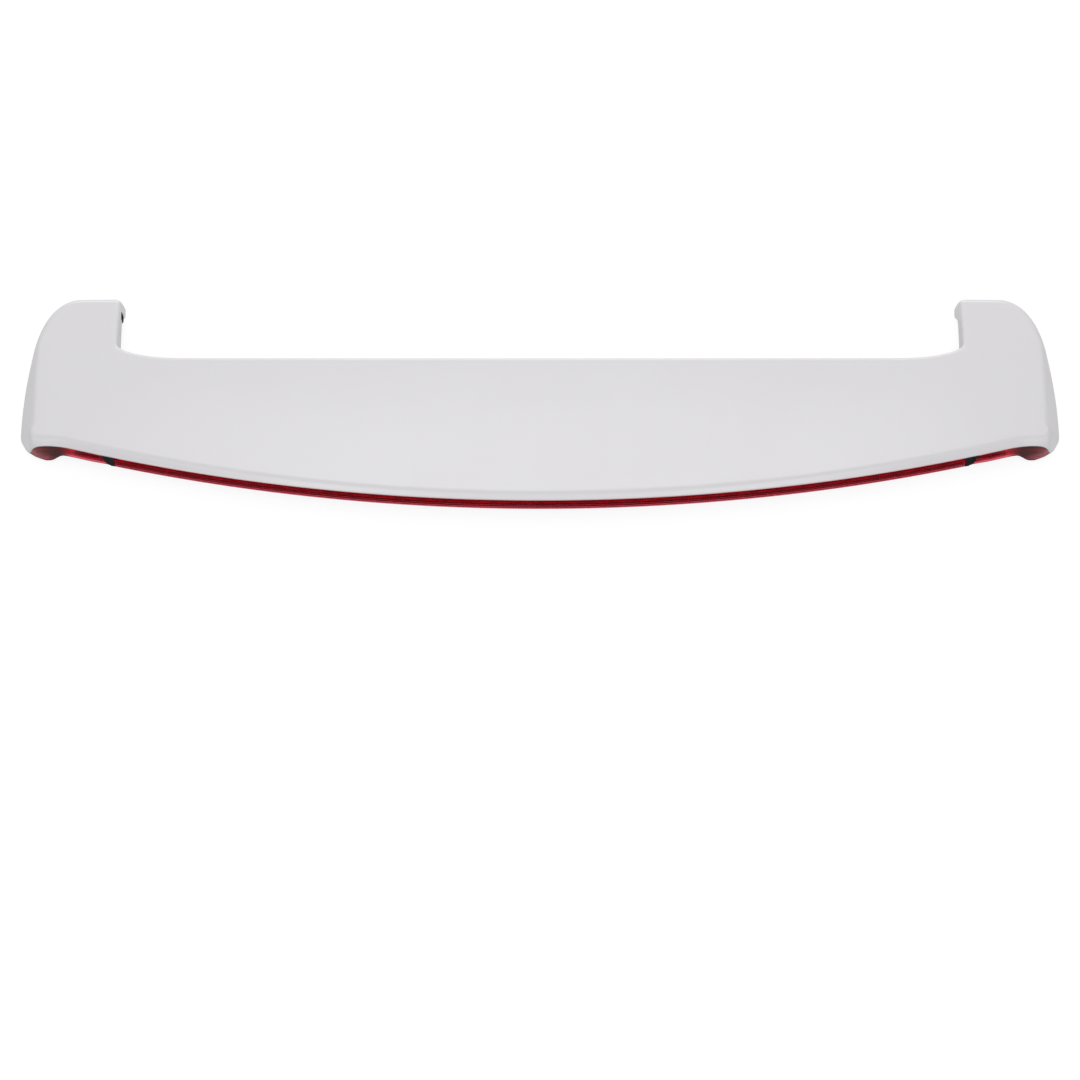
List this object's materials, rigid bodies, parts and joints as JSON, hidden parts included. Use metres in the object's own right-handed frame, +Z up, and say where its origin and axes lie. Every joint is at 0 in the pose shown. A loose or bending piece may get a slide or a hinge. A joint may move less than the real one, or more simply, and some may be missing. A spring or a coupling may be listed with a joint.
{
  "type": "car rear spoiler",
  "caption": "Wide roof-edge spoiler for a car: a thin white blade with two short forward legs, a red stop lamp along its curved trailing edge and bolt-down foam-padded feet.",
  "frame": {"origin": "middle of the bounding box seen from above, at the underside of the foam pads", "axes": "+X across the car towards its right-hand side, +Y towards the front of the car, +Z up"},
  "size_m": [1.2, 0.256, 0.061],
  "materials": {
    "shell_paint": "satin-gloss white paint on moulded plastic",
    "cover_plastic": "fine-grained light grey moulded plastic",
    "lens_red": "clear dark red moulded lens with fine upright flutes inside",
    "seal_black": "semi-gloss black",
    "housing_black": "matte black",
    "reflector_silver": "metallised plastic",
    "board_green": "solder-mask green circuit board",
    "led_resin": "clear moulded resin",
    "socket_nylon": "natural nylon",
    "screw_steel": "zinc-plated",
    "insert_brass": "turned brass",
    "foam_rubber": "matte closed-cell foam",
    "grommet_rubber": "matte black rubber"
  },
  "bodies": {
    "root": {"upper_shell": "shell_paint", "lower_cover": "cover_plastic", "centre_lens": "lens_red", "left_lens": "lens_red", "right_lens": "lens_red", "left_joint_seal": "seal_black", "right_joint_seal": "seal_black", "centre_housing": "housing_black", "left_housing": "housing_black", "right_housing": "housing_black", "centre_reflector": "reflector_silver", "left_reflector": "reflector_silver", "right_reflector": "reflector_silver", "centre_board": "board_green", "left_board": "board_green", "right_board": "board_green", "centre_leds": "led_resin", "left_leds": "led_resin", "right_leds": "led_resin", "centre_socket": "socket_nylon", "left_socket": "socket_nylon", "right_socket": "socket_nylon", "lamp_screws": "screw_steel", "cover_screws": "screw_steel", "left_inserts": "insert_brass", "right_inserts": "insert_brass", "left_pad": "foam_rubber", "right_pad": "foam_rubber", "cable_grommet": "grommet_rubber"}
  },
  "joints": []
}
